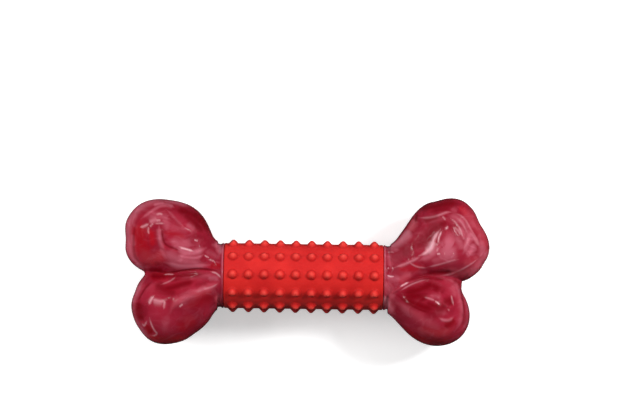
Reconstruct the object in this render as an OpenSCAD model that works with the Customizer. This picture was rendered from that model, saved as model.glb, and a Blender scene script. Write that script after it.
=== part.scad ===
// Bone-shaped chew toy: two marbled nylon ends on a stiff core, with a nubbed rubber sleeve between them.
// The toy lies on its four lobes. X runs along its length, Y is the spread of the lobes and Z is up.
// The origin is under the middle of the toy's box, on the surface that it lies on.

/* [Sleeve] */
// Length of the rubber sleeve between the two collars
sleeve_len = 109; // [90:0.5:130]
// Outer diameter of the sleeve, without its nubs
sleeve_d = 44.6; // [42:0.1:48]
// Thickness of the sleeve's wall, away from its nubs and keyways
sleeve_wall = 8.15; // [7:0.05:9]
// Radius that rounds the two outer edges of the sleeve
sleeve_edge_r = 1; // [0.6:0.1:1.6]

/* [Nubs] */
// Number of nubs in a row along the sleeve
nubs_along = 10; // [6:1:10]
// Number of rows of nubs around the sleeve
nubs_around = 11; // [6:1:12]
// Height of a nub above the sleeve
nub_h = 2.9; // [2:0.1:3.5]
// Diameter of a nub where it leaves the sleeve
nub_d = 7.2; // [6:0.1:8]
// Radius of the rounded crown of a nub
nub_crown_r = 2; // [1.6:0.1:2.4]
// Angle in degrees of the first row from the direction that faces up
nub_turn = -4; // [-18:0.5:18]
// Width of the bare band at each end of the sleeve, outside the nubs' pitches
nub_margin = 0.8; // [0:0.1:3]

/* [Core] */
// Number of keys along the core that stop the sleeve from turning
key_count = 4; // [3:1:6]
// Width of a key
key_w = 5; // [4:0.5:7]
// Height of a key above the core
key_h = 2.5; // [1.5:0.1:3]
// Depth of the shoulder where the core steps down to a tenon
tenon_shoulder = 3; // [2.5:0.1:3.5]
// Length of a tenon
tenon_len = 30; // [24:0.5:32]
// Height of the barbs that lock a tenon in its socket
barb_h = 1; // [0.6:0.1:1.4]
// Length of one barb along the tenon
barb_len = 5; // [4:0.5:6]
// Depth of each of a tenon's two flats, which stop an end from turning
flat_depth = 1.75; // [1.4:0.05:2.2]
// Chamfer at the tip of a tenon
tenon_chamfer = 1.5; // [1:0.1:2]

/* [Ends] */
// Width of the collar that the sleeve butts against
collar_w = 1.7; // [1.2:0.1:2.4]
// Depth and width of the step behind the collar
collar_step = 0.7; // [0.6:0.1:1]
// Chamfer on the two edges of the collar
collar_chamfer = 0.4; // [0.2:0.1:0.5]
// Thickness of the lobes, from the surface that they lie on to their tops
lobe_t = 53; // [51.5:0.1:58]
// Length of the left end, from the sleeve to its tip
left_reach = 68.2; // [60:0.1:76]
// Reach of the left end's upper lobe from the toy's axis
left_up = 52; // [48:0.1:57]
// Reach of the left end's lower lobe from the toy's axis
left_down = 47.8; // [44:0.1:53]
// Length of the right end, from the sleeve to its tip
right_reach = 72.6; // [64:0.1:80]
// Reach of the right end's upper lobe from the toy's axis
right_up = 55.2; // [50:0.1:60]
// Reach of the right end's lower lobe from the toy's axis
right_down = 46.4; // [43:0.1:52]

/* [Fit] */
// Clearance all round each piece that sits in another
fit_gap = 0.15; // [0.05:0.05:0.25]

/* [Hidden] */

// What each end's shape follows: its reach from the step behind the collar, its lobes' reach up and
// down, and half the thickness
LEFT_SIZE = [left_reach - collar_w - collar_step, left_up, left_down, lobe_t / 2];
RIGHT_SIZE = [right_reach - collar_w - collar_step, right_up, right_down, lobe_t / 2];

// An end is grown from soft blobs. A blob's row holds its centre, its half sizes, the angle that it is
// turned by, and its squareness, where 2 is an ellipse. The centre is in shares of the reach, of the
// lobe's reach on its own side of the axis and of half the thickness. The half sizes are in shares
// of the reach, of the mean of the two lobes' reaches and of half the thickness.
LEFT_UPPER_SHARES = [
    [[0.60, 0.52, 0], [0.395, 0.505, 1.00], 0, 2.4],
    [[0.30, 0.52, 0], [0.27, 0.25, 0.86], 58, 2.4],
    [[0.34, 0.20, 0], [0.34, 0.25, 0.90], 6, 2.2],
];
LEFT_LOWER_SHARES = [
    [[0.565, -0.475, 0], [0.345, 0.515, 0.98], -10, 2.2],
    [[0.27, -0.42, 0], [0.205, 0.31, 0.84], -20, 2],
    [[0.32, -0.20, 0], [0.32, 0.28, 0.90], -10, 2.4],
];
LEFT_WEB_SHARES = [[0.36, 0.04, 0], [0.36, 0.22, 0.62], 0, 2];

RIGHT_UPPER_SHARES = [
    [[0.585, 0.605, 0], [0.315, 0.425, 0.90], 12, 2.4],
    [[0.61, 0.38, 0], [0.39, 0.38, 0.955], -8, 2.3],
    [[0.285, 0.46, 0], [0.29, 0.22, 0.86], 48, 2.4],
    [[0.33, 0.19, 0], [0.33, 0.25, 0.86], 20, 2.2],
];
RIGHT_LOWER_SHARES = [
    [[0.485, -0.51, 0], [0.345, 0.435, 0.96], -42, 2],
    [[0.275, -0.50, 0], [0.28, 0.24, 0.84], -44, 2.2],
    [[0.31, -0.26, 0], [0.31, 0.27, 0.88], 4, 2.4],
];
RIGHT_WEB_SHARES = [[0.36, -0.05, 0], [0.33, 0.22, 0.62], 0, 2];

// Soft dents in both faces of an end. A dent's row holds its centre, its half sizes, the angle that it
// is turned by, and its depth as a share of the height of the face. The centre and the half sizes are in
// the same shares as a blob's.
LEFT_DENT_SHARES = [
    [[0.33, 0.78], [0.16, 0.09], 34, 0.05],
    [[0.39, -0.17], [0.22, 0.07], -12, 0.045],
];
RIGHT_DENT_SHARES = [
    [[0.40, 0.525], [0.205, 0.13], 42, 0.08],
    [[0.335, -0.24], [0.155, 0.135], 12, 0.085],
];

// Length of the neck blob as a share of the reach, and its girth as a share of the neck's
NECK_SHARE = 0.42;
NECK_GIRTH_SHARE = 0.92;
// Widths over which blobs melt together, as shares of half the thickness: within a lobe, with the
// web, and between the two lobes
LOBE_BLEND_SHARE = 0.35;
WEB_BLEND_SHARE = 0.2;
CLEFT_BLEND_SHARE = 0.12;
// Place of the point that an end's rays start from, as a share of the reach
STAR_SHARE = 0.46;
// Longest ray, as a share of the reach
RAY_SHARE = 1.4;
// How far along an end its neck keeps free of the last stretch, as a share of the reach, and the angle
// in degrees over which the neck's round rim melts into the blobs
RIM_SHARE = 0.25;
RIM_ANGLE = 4.5;
// Rings of an end, points in a ring, and steps that find where a ray leaves the blobs
RINGS = 40;
RING_POINTS = 56;
RAY_STEPS = 16;
// How far the points of a ring are drawn towards the lobes and the cleft, in degrees
DRAW_ANGLE = 6;

// Where the square faces of a tenon's two barbs are, as shares of its length
FIRST_BARB_SHARE = 0.3;
SECOND_BARB_SHARE = 0.62;
// How far a cut or a joining piece runs past the face that it meets
overrun = 1;

// Diameter of the core, which fills the sleeve's bore, diameter of its tenons, and width across a
// tenon's flats
core_d = sleeve_d - 2 * (sleeve_wall + fit_gap);
tenon_d = core_d - 2 * tenon_shoulder;
flat_w = tenon_d - 2 * flat_depth;

// Place of a collar's face from the middle of the sleeve, and radius of the neck behind the collar
seat_x = sleeve_len / 2 + fit_gap;
neck_r = sleeve_d / 2 - collar_step;
// Middle of the toy's box, from the middle of the sleeve's axis
middle = [
    (right_reach - left_reach) / 2,
    (max(left_up, right_up) - max(left_down, right_down)) / 2,
    -lobe_t / 2
];

function lerp(a, b, t) = a + (b - a) * t;
function ease(t) = let (c = min(1, max(0, t))) c * c * (3 - 2 * c);
function soft_min(a, b, width) =
    let (h = max(width - abs(a - b), 0) / width)
    min(a, b) - h * h * width / 4;

// A blob in millimetres, from its row of shares and the size of its end
function blob(row, size) =
    let (
        side = row[0][1] < 0 ? size[2] : size[1],
        half = [row[1][0] * size[0], row[1][1] * (size[1] + size[2]) / 2, row[1][2] * size[3]]
    )
    [[row[0][0] * size[0], row[0][1] * side, row[0][2] * size[3]], half, row[2], row[3], min(half)];

// About how far a point lies outside one blob, negative inside it
function blob_gap(p, b) =
    let (
        d = p - b[0],
        u = (d[0] * cos(b[2]) + d[1] * sin(b[2])) / b[1][0],
        v = (d[1] * cos(b[2]) - d[0] * sin(b[2])) / b[1][1],
        w = d[2] / b[1][2]
    )
    (sqrt(pow(pow(abs(u), b[3]) + pow(abs(v), b[3]), 2 / b[3]) + w * w) - 1) * b[4];

// The same for a list of blobs that melt together
function group_gap(p, blobs, width, i = 0) =
    i == len(blobs) - 1
        ? blob_gap(p, blobs[i])
        : soft_min(blob_gap(p, blobs[i]), group_gap(p, blobs, width, i + 1), width);

// The same for a whole end: the upper lobe and the lower lobe, with the web between them
function end_gap(p, lobes, half_t) =
    let (
        upper = group_gap(p, lobes[0], LOBE_BLEND_SHARE * half_t),
        lower = group_gap(p, lobes[1], LOBE_BLEND_SHARE * half_t),
        both = soft_min(upper, lower, CLEFT_BLEND_SHARE * half_t)
    )
    soft_min(both, blob_gap(p, lobes[2]), WEB_BLEND_SHARE * half_t);

// Length of the ray from start along way, by halving the stretch that the surface lies in
function ray(start, way, lobes, half_t, low, high, steps) =
    steps == 0
        ? (low + high) / 2
        : let (middle = (low + high) / 2)
          end_gap(start + way * middle, lobes, half_t) < 0
              ? ray(start, way, lobes, half_t, middle, high, steps - 1)
              : ray(start, way, lobes, half_t, low, middle, steps - 1);

// All points of an end, ring by ring from the neck to the cleft, with u along the axis, v up across
// the lobes and w through the thickness
function end_points(lobes, size) =
    let (
        start = [STAR_SHARE * size[0], 0, 0],
        rim_angle = atan2(neck_r, start[0])
    )
    [
        for (i = [0 : RINGS - 1])
            let (
                polar = lerp(rim_angle, 180, i / RINGS),
                keep = 1 - ease((polar - rim_angle) / RIM_ANGLE)
            )
            [
                for (j = [0 : RING_POINTS - 1])
                    let (
                        even = 360 * j / RING_POINTS,
                        around = even - DRAW_ANGLE * sin(4 * even),
                        way = [-cos(polar), sin(polar) * cos(around), sin(polar) * sin(around)],
                        free = ray(start, way, lobes, size[3], 0, RAY_SHARE * size[0], RAY_STEPS),
                        reach = lerp(free, neck_r / sin(polar), keep)
                    )
                    start + way * reach
            ],
        [start + [ray(start, [1, 0, 0], lobes, size[3], 0, RAY_SHARE * size[0], RAY_STEPS), 0, 0]]
    ];

// How far a dent goes into the face at a point, as a share of the height of the face there
function dent_share(p, row, size) =
    let (
        side = row[0][1] < 0 ? size[2] : size[1],
        du = p[0] - row[0][0] * size[0],
        dv = p[1] - row[0][1] * side,
        a = (du * cos(row[2]) + dv * sin(row[2])) / (row[1][0] * size[0]),
        b = (dv * cos(row[2]) - du * sin(row[2])) / (row[1][1] * (size[1] + size[2]) / 2)
    )
    row[3] * exp(-a * a - b * b);

// The points with all dents pressed in
function dented(rings, dents, size) =
    [
        for (ring = rings)
            [
                for (p = ring)
                    let (pressed = [for (row = dents) dent_share(p, row, size)])
                    [p[0], p[1], p[2] * (1 - pressed * [for (row = dents) 1])]
            ]
    ];

// Stretches the points so that the lobes reach exactly as far as the named sizes say, and the neck
// keeps its round rim
function fitted(rings, size) =
    let (
        us = [for (ring = rings, p = ring) p[0]],
        vs = [for (ring = rings, p = ring) p[1]],
        ws = [for (ring = rings, p = ring) p[2]],
        scale_u = size[0] / max(us),
        scale_up = size[1] / max(vs),
        scale_down = size[2] / -min(vs),
        scale_w = size[3] / max(ws)
    )
    [
        for (ring = rings)
            [
                for (p = ring)
                    let (
                        free = ease(p[0] / (RIM_SHARE * size[0])),
                        scale_v = p[1] > 0 ? scale_up : scale_down
                    )
                    [p[0] * scale_u, p[1] * lerp(1, scale_v, free), p[2] * lerp(1, scale_w, free)]
            ]
    ];

// Faces of a skin over rings of points, with a flat cap on the first ring and a point at the last
function skin_faces(rings, count) =
    let (tip = rings * count)
    [
        [for (j = [0 : count - 1]) j],
        for (i = [0 : rings - 2], j = [0 : count - 1])
            let (
                a = i * count + j,
                b = i * count + (j + 1) % count,
                c = b + count,
                d = a + count
            )
            each [[a, c, b], [a, d, c]],
        for (j = [0 : count - 1])
            [(rings - 1) * count + j, tip, (rings - 1) * count + (j + 1) % count]
    ];

// The sculpted solid of one end, which leaves its neck at zero, with a straight root behind it
module end_body(upper, lower, web, dents, size) {
    girth = NECK_GIRTH_SHARE * neck_r;
    neck = [[0, 0, 0], [NECK_SHARE * size[0], girth, girth], 0, 2, girth];
    lobes = [
        concat([neck], [for (row = upper) blob(row, size)]),
        concat([neck], [for (row = lower) blob(row, size)]),
        blob(web, size)
    ];
    rings = fitted(dented(end_points(lobes, size), dents, size), size);
    root = [for (p = rings[0]) p - [collar_w / 2 + collar_step, 0, 0]];
    polyhedron([for (ring = concat([root], rings)) each ring], skin_faces(RINGS + 1, RING_POINTS));
}

// A disc with two chamfered edges, along +X from zero
module chamfered_disc(length, radius, chamfer) {
    rotate([0, 90, 0]) rotate_extrude($fn = 96) polygon([
        [0, 0],
        [radius - chamfer, 0],
        [radius, chamfer],
        [radius, length - chamfer],
        [radius - chamfer, length],
        [0, length]
    ]);
}

// The barbed tenon along +X from zero, with two flats, grown all round by gap for its socket
module tenon(gap) {
    tenon_r = tenon_d / 2 + gap;
    tip = tenon_len + gap;
    first = tenon_len * FIRST_BARB_SHARE - gap;
    second = tenon_len * SECOND_BARB_SHARE - gap;
    barb_run = barb_len + 2 * gap;
    intersection() {
        rotate([0, 90, 0]) rotate_extrude($fn = 96) polygon([
            [0, -overrun],
            [tenon_r, -overrun],
            [tenon_r, first],
            [tenon_r + barb_h, first],
            [tenon_r, first + barb_run],
            [tenon_r, second],
            [tenon_r + barb_h, second],
            [tenon_r, second + barb_run],
            [tenon_r, tip - tenon_chamfer],
            [tenon_r - tenon_chamfer, tip],
            [0, tip]
        ]);
        translate([-2 * overrun, -tenon_d, -flat_w / 2 - gap])
            cube([tip + 3 * overrun, 2 * tenon_d, flat_w + 2 * gap]);
    }
}

// One end along +X from its collar face: the sculpted body, the collar and the socket
module end_piece(upper, lower, web, dents, size) {
    difference() {
        union() {
            translate([collar_w + collar_step, 0, 0])
                end_body(upper, lower, web, dents, size);
            chamfered_disc(collar_w, sleeve_d / 2, collar_chamfer);
        }
        tenon(fit_gap);
    }
}

// The keyed part of the core, grown all round by gap for the sleeve's bore
module keyed_core(length, gap) {
    core_r = core_d / 2 + gap;
    translate([-length / 2, 0, 0]) rotate([0, 90, 0]) cylinder(h = length, r = core_r, $fn = 96);
    for (i = [0 : key_count - 1])
        rotate([360 * (i + 1 / 2) / key_count, 0, 0])
            translate([-length / 2, -key_w / 2 - gap, core_r - overrun])
                cube([length, key_w + 2 * gap, key_h + overrun]);
}

// One nub, standing on the sleeve's surface at zero: a cone that runs tangent into a round crown
module nub() {
    foot_r = nub_d / 2;
    crown_z = nub_h - nub_crown_r;
    away = norm([foot_r, crown_z]);
    slope = atan2(crown_z, foot_r) + asin(nub_crown_r / away);
    top = [nub_crown_r * sin(slope), crown_z + nub_crown_r * cos(slope)];
    root_r = foot_r + overrun / tan(slope);
    rotate_extrude($fn = 48) {
        polygon([[0, -overrun], [root_r, -overrun], top, [0, top[1]]]);
        intersection() {
            translate([0, crown_z]) circle(r = nub_crown_r, $fn = 48);
            translate([0, top[1]]) square([nub_crown_r, nub_crown_r]);
        }
    }
}

// All the nubs, in rows along the sleeve
module nub_rows() {
    pitch = (sleeve_len - 2 * nub_margin) / nubs_along;
    for (row = [0 : nubs_around - 1], column = [0 : nubs_along - 1])
        rotate([360 * row / nubs_around + nub_turn, 0, 0])
            translate([pitch * (column + 1 / 2) + nub_margin - sleeve_len / 2, 0, sleeve_d / 2])
                nub();
}

// The sleeve's outside without nubs, as a solid bar with two rounded edges
module sleeve_tube() {
    edge_y = sleeve_d / 2 - sleeve_edge_r;
    translate([-sleeve_len / 2, 0, 0]) rotate([0, 90, 0]) rotate_extrude($fn = 96) {
        square([edge_y, sleeve_len]);
        translate([0, sleeve_edge_r]) square([sleeve_d / 2, sleeve_len - 2 * sleeve_edge_r]);
        for (z = [sleeve_edge_r, sleeve_len - sleeve_edge_r])
            translate([edge_y, z]) circle(r = sleeve_edge_r, $fn = 48);
    }
}

// Puts what is drawn about the middle of the sleeve's axis into the toy's own frame
module placed() {
    translate(-middle) children();
}

module left_knuckle() {
    color([0.58, 0.16, 0.24])
        placed()
            mirror([1, 0, 0])
                translate([seat_x, 0, 0])
                    end_piece(
                        LEFT_UPPER_SHARES,
                        LEFT_LOWER_SHARES,
                        LEFT_WEB_SHARES,
                        LEFT_DENT_SHARES,
                        LEFT_SIZE
                    );
}

module right_knuckle() {
    color([0.58, 0.16, 0.24])
        placed()
            translate([seat_x, 0, 0])
                end_piece(
                    RIGHT_UPPER_SHARES,
                    RIGHT_LOWER_SHARES,
                    RIGHT_WEB_SHARES,
                    RIGHT_DENT_SHARES,
                    RIGHT_SIZE
                );
}

module core_shaft() {
    color([0.52, 0.13, 0.2])
        placed()
            union() {
                keyed_core(sleeve_len, 0);
                for (side = [0, 1])
                    mirror([side, 0, 0])
                        translate([seat_x, 0, 0])
                            tenon(0);
            }
}

module nub_sleeve() {
    color([0.82, 0.15, 0.13])
        placed()
            difference() {
                union() {
                    sleeve_tube();
                    nub_rows();
                }
                keyed_core(sleeve_len + 2 * overrun, fit_gap);
            }
}

left_knuckle();
right_knuckle();
core_shaft();
nub_sleeve();
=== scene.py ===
# Looks of the chew toy: marbled nylon ends with sculpted folds, a nubbed rubber sleeve and a nylon core.
# The toy lies on its lobes. Sizes are in millimetres about the middle of the sleeve's axis, with X along
# the toy, Y up in the photograph and Z towards its camera, and placed() turns them into Blender's metres.
import math
import bpy
import mathutils
import numpy as np
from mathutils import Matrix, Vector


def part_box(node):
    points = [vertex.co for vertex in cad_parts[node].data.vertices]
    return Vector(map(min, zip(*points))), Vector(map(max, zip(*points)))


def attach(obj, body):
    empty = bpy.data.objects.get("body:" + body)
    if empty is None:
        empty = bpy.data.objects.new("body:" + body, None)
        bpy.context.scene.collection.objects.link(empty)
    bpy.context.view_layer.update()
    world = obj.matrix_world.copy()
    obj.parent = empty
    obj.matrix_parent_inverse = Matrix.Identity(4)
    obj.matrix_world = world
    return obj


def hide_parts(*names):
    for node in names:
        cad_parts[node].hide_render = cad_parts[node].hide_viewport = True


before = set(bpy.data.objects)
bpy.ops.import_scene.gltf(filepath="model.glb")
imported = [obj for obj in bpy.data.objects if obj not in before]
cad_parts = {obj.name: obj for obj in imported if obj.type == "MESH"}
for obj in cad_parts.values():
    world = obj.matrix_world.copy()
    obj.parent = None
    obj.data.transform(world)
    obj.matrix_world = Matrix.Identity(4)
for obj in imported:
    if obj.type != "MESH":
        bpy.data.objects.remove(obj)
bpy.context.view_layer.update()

MM = 0.001

# The photograph: its size, the pixel where the middle of the sleeve's axis is, what a pixel measures on
# the plane of that axis, the turn of the toy in it, and how far the camera was from that plane
PHOTO_WIDTH = 620
PHOTO_HEIGHT = 420
PHOTO_MIDDLE = (303.6, 276.55)
PIXEL = 0.686
ROLL = math.radians(0.8)
CAMERA_AWAY = 2500
SENSOR = 36

# Sizes that the toy's source has too
COLLAR_W = 1.7
COLLAR_STEP = 0.7
COLLAR_CHAMFER = 0.4
FIT_GAP = 0.15
SLEEVE_D = 44.6
SLEEVE_WALL = 8.15
SLEEVE_EDGE_R = 1
NUBS_ALONG = 10
NUBS_AROUND = 11
NUB_H = 2.9
NUB_D = 7.2
NUB_CROWN_R = 2
NUB_TURN = -4
NUB_MARGIN = 0.8
KEY_COUNT = 4
KEY_W = 5
KEY_H = 2.5
TENON_SHOULDER = 3
TENON_LEN = 30
BARB_H = 1
BARB_LEN = 5
FLAT_DEPTH = 1.75
FIRST_BARB_SHARE = 0.3
SECOND_BARB_SHARE = 0.62

CORE_R = SLEEVE_D / 2 - SLEEVE_WALL - FIT_GAP
TENON_R = CORE_R - TENON_SHOULDER
NECK_R = SLEEVE_D / 2 - COLLAR_STEP
# Where the sculpted body of an end starts, from its collar's face
BODY_START = COLLAR_W + COLLAR_STEP

# Shares that grow the two ends from soft blobs and press soft dents into their faces, as in the toy's
# source. A row has a centre, half sizes, a turn in degrees, and a blob's squareness or a dent's depth.
LEFT_SHARES = {
    "upper": [
        [[0.60, 0.52, 0], [0.395, 0.505, 1.00], 0, 2.4],
        [[0.30, 0.52, 0], [0.27, 0.25, 0.86], 58, 2.4],
        [[0.34, 0.20, 0], [0.34, 0.25, 0.90], 6, 2.2],
    ],
    "lower": [
        [[0.565, -0.475, 0], [0.345, 0.515, 0.98], -10, 2.2],
        [[0.27, -0.42, 0], [0.205, 0.31, 0.84], -20, 2],
        [[0.32, -0.20, 0], [0.32, 0.28, 0.90], -10, 2.4],
    ],
    "web": [[0.36, 0.04, 0], [0.36, 0.22, 0.62], 0, 2],
    "dents": [
        [[0.33, 0.78], [0.16, 0.09], 34, 0.05],
        [[0.39, -0.17], [0.22, 0.07], -12, 0.045],
    ],
}
RIGHT_SHARES = {
    "upper": [
        [[0.585, 0.605, 0], [0.315, 0.425, 0.90], 12, 2.4],
        [[0.61, 0.38, 0], [0.39, 0.38, 0.955], -8, 2.3],
        [[0.285, 0.46, 0], [0.29, 0.22, 0.86], 48, 2.4],
        [[0.33, 0.19, 0], [0.33, 0.25, 0.86], 20, 2.2],
    ],
    "lower": [
        [[0.485, -0.51, 0], [0.345, 0.435, 0.96], -42, 2],
        [[0.275, -0.50, 0], [0.28, 0.24, 0.84], -44, 2.2],
        [[0.31, -0.26, 0], [0.31, 0.27, 0.88], 4, 2.4],
    ],
    "web": [[0.36, -0.05, 0], [0.33, 0.22, 0.62], 0, 2],
    "dents": [
        [[0.40, 0.525], [0.205, 0.13], 42, 0.08],
        [[0.335, -0.24], [0.155, 0.135], 12, 0.085],
    ],
}
NECK_SHARE = 0.42
NECK_GIRTH_SHARE = 0.92
LOBE_BLEND_SHARE = 0.35
WEB_BLEND_SHARE = 0.2
CLEFT_BLEND_SHARE = 0.12
STAR_SHARE = 0.46
RAY_SHARE = 1.4
RIM_SHARE = 0.25
RIM_ANGLE = 4.5
DRAW_ANGLE = 6

# Rings of an end's sculpted body and of the slope behind its collar's edge, points in each of its rings,
# and steps that find the surface
BODY_RINGS = 340
SLOPE_RINGS = 6
RING_POINTS = 520
RAY_STEPS = 18
# Rings of the sleeve's outside and of its bore, and points in each of them
SLEEVE_RINGS = 321
BORE_RINGS = 12
SLEEVE_POINTS = 360
# Angles of the rings on a rounded edge
EDGE_ANGLES = np.radians([0, 22.5, 45, 67.5, 90])
# How far the steep side of a barb leans, so that no two rings of the socket lie on each other
BARB_LEAN = 0.05
# How softly a nub's foot meets the sleeve, in millimetres
NUB_FOOT_BLEND = 0.45

# The pixel of the photograph from which the folds and swells of each end are measured
LEFT_CORNER = (120, 190)
RIGHT_CORNER = (380, 190)


def fold(width, path, **effects):
    """A fold with its half width in pixels, its path in pairs of pixels from its end's corner, and what it
    does there: rise is its height in millimetres, and milk, dark, red and pale are how far it tints the
    nylon:
    milk with milky pink, as marbling and as painted reflections; dark with deep maroon, as marbling and as
    painted shade in creases, hollows and clefts and on undersides; red with saturated red; and pale with
    painted highlights."""
    return np.array([pair.split(",") for pair in path.split()], float), width, effects


# Folds and marbling of the two ends, with painted shade, reflections and highlights among their tints: of
# the upper lobe, the neck and the cleft, and the lower lobe
LEFT_UPPER = dict(
    # The paler rims along the outline are painted reflections, and the rim crease holds painted shade
    rim=fold(3.6, "27,77 17,69.5 11,60 8,48 8.5,36 12,26 19.5,17 29,12.5 40,11 51,12.5", milk=0.7),
    rim_notch=fold(2.2, "16,71 21,76 24.6,79.6", milk=0.85),
    rim_low=fold(2.8, "11,43 12,51 14,58", milk=0.62),
    rim_crease=fold(1.5, "16.5,32 14,42 13.5,54 16,66 23,74", rise=-0.3, dark=0.6),
    brow=fold(1.7, "21,29 28,24 35,19 40,16.2 46,15.6 52,18", rise=0.3, milk=0.6),
    brow_light=fold(2.2, "32,15 39,13.6 46,13.4", milk=0.85),
    corner_milk=fold(2.4, "43,14 49,14.6 54,17", milk=0.6),
    red=fold(8, "20,32 19,45 23,58 31,68", red=0.9, dark=0.2),
    red_dark=fold(4.6, "18,36 19,46 21,55", dark=0.3),
    centre_red=fold(4, "29,38 32,48 32,58", red=0.8),
    low_haze=fold(6, "21,58 28,68 38,68 44,58", red=0.9, milk=0.2),
    haze=fold(4.4, "27,28 34,26 43,26.6 50,30", milk=0.36),
    centre_milk=fold(3.6, "43,27 46,34 48,41", milk=0.42),
    # Painted highlights on the upper lobe, with a painted glow round them
    glint_arc=fold(0.8, "36,24.8 39.5,23.8 43,24.6", pale=0.5),
    glint_bar=fold(0.75, "36,30.7 38.5,30.3 41,30.5", pale=0.6),
    glint_bar_low=fold(0.65, "34.6,33.6 39,33 44,33.4", pale=0.5),
    glint_blob=fold(1.05, "19.5,37.4 23,36.6 26,35.2 29,33.6", pale=0.5),
    glint_slash=fold(0.75, "33.4,32.8 31.4,35 29.8,37.2", pale=0.5),
    glint_glow=fold(2.6, "29,33 33,30.4 38,29", milk=0.6, pale=0.12),
    glint_trail=fold(0.75, "28.6,36.8 28.2,40 28.8,44", pale=0.45),
    # A ridge with painted light along it, and a fold with painted shade in it
    ridge=fold(2.3, "39,35 39.4,45 41,54 45,61", rise=0.6, milk=0.6),
    ridge_low=fold(5.6, "43,60 51,66 64,71 84,74", milk=0.6),
    ridge_light=fold(2.1, "56,65 67,67.4 77,67.6 84,64.2", milk=0.85),
    deep_fold=fold(1.2, "41.8,38 42.4,46 44.4,53 48.6,56.6 55,59 62,62", rise=-0.45, dark=0.8),
    # Painted glow round a painted highlight streak
    streak_glow=fold(3.4, "55,56 64,62 74,62.6 86,58", milk=0.85),
    streak_haze=fold(2.8, "52,58 60,55 67,55", milk=0.5),
    inner_pink=fold(3.6, "47,38 58,39 70,41", milk=0.2),
    inner_shade=fold(4, "72,44 80,48 86,51", dark=0.3),
    inner_red=fold(2.6, "43,43 54,44 67,47.6", red=0.6, dark=0.2),
    inner_milk=fold(4.2, "49,50 60,53 73,56", milk=0.5),
    # A painted highlight streak and a painted glint
    streak=fold(0.85, "58.4,56.6 61.5,57.9 65.5,59 69,60 74,61.6", rise=0.2, pale=1),
    glint=fold(0.56, "73.8,50.2 76,50.3 78.4,51", pale=0.9),
    # Painted shade in the scoop, and a painted reflection along the outline above it
    scoop=fold(5.2, "54,19.4 63,20.4 72,23.6 80,30 85,39", rise=-0.3, dark=1),
    scoop_deep=fold(4.6, "70,20 78,26 84,34 89,44", dark=1),
    scoop_low=fold(4.8, "61,22 70,27.4 77,34 84,44", dark=0.9),
    scoop_rim=fold(2, "40,9.6 50,10.6 60,12.4 70,16", milk=0.75),
    sweep=fold(1.4, "46,19 52,25 58,32 65,38", rise=0.2, milk=0.36),
    sweep_shade=fold(3, "50,27 56,32 61,39", dark=0.36),
    patch=fold(3, "66,34 70.6,36.6 76,39", milk=0.5),
    low_red=fold(4, "26,60 30,70 38,74", red=0.9),
    low_shade=fold(2.4, "34,73 40,75", dark=0.4),
    low_milk=fold(3, "44,72 58,75.6 72,76 90,75", milk=0.85),
    low_milk_left=fold(3.2, "40,57 44,64 48,70", milk=0.5),
)
LEFT_MIDDLE = dict(
    # Painted light on the neck, and a painted glint
    neck_glow=fold(4.6, "93,55 101,56 99,65", milk=0.8, pale=0.03),
    neck_low_glow=fold(3, "84,61 92,64 100,69", milk=0.25),
    neck_glint=fold(0.56, "84.4,65.2 87,66.8 89.4,67.9", pale=0.75),
    neck_line=fold(0.9, "86,69 93,71.4 102,72.8", milk=0.25),
    neck_red=fold(3, "89,76 102,76.4", red=0.9, dark=0.5),
    # Painted shade in the cleft and under it, and a painted glint below it
    cleft=fold(1.2, "26,81 35,81.8 45,82.8 55,82.4 65,80.8 80,79.4 92,80.2 102,82", rise=-0.8, dark=0.85),
    cleft_shade=fold(2.7, "27,79.4 35,80 44,81", dark=1),
    cleft_red=fold(4.2, "29,85.6 39,86.4 50,85", dark=1, red=0.8),
    cleft_low_red=fold(3.4, "30,84.6 48,86 68,85.4 88,83.4", dark=0.85),
    cleft_low_shade=fold(3, "46,90 60,89.6 74,88.4", dark=0.66),
    cleft_glint=fold(0.65, "43.5,84.7 48,84.2 54.5,84.5", pale=0.4),
    # Painted light along the beak's top and crest, a painted highlight at its tip, and painted shade beside
    # it
    beak_top=fold(3, "58,91 68,87.4 80,85.6 92,86.6 99,89", rise=0.5, milk=0.32),
    beak_line=fold(0.8, "64,86 75,83.6 86,83.2", milk=0.4),
    beak_tip=fold(0.8, "90.5,81.6 95.5,83 99,85.6 100.8,88.4", pale=0.5),
    beak_tip_milk=fold(2.6, "87,88.6 94,88 99,91", milk=0.6),
    beak_dark=fold(4.2, "40,99 50,98 62,94.6 76,90.6", dark=0.95, red=0.3),
    beak_shade=fold(3, "73,96 82,94 88,92", dark=0.45),
    beak_crest=fold(3.9, "101,91 91,97 80,101.6 68,107 58,112 53,116.6 50,123", rise=0.8, milk=0.42,
        red=0.3),
    beak_crest_red=fold(3.4, "72,107.6 83,103.4 93,99.6", red=0.8),
    beak_crest_line=fold(0.75, "98.6,93 93,96.2 87,98.4 82.6,100.6", pale=0.25),
    neck_low_red=fold(3, "94,107 99,110 98,115", red=0.9, milk=0.4),
)
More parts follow.
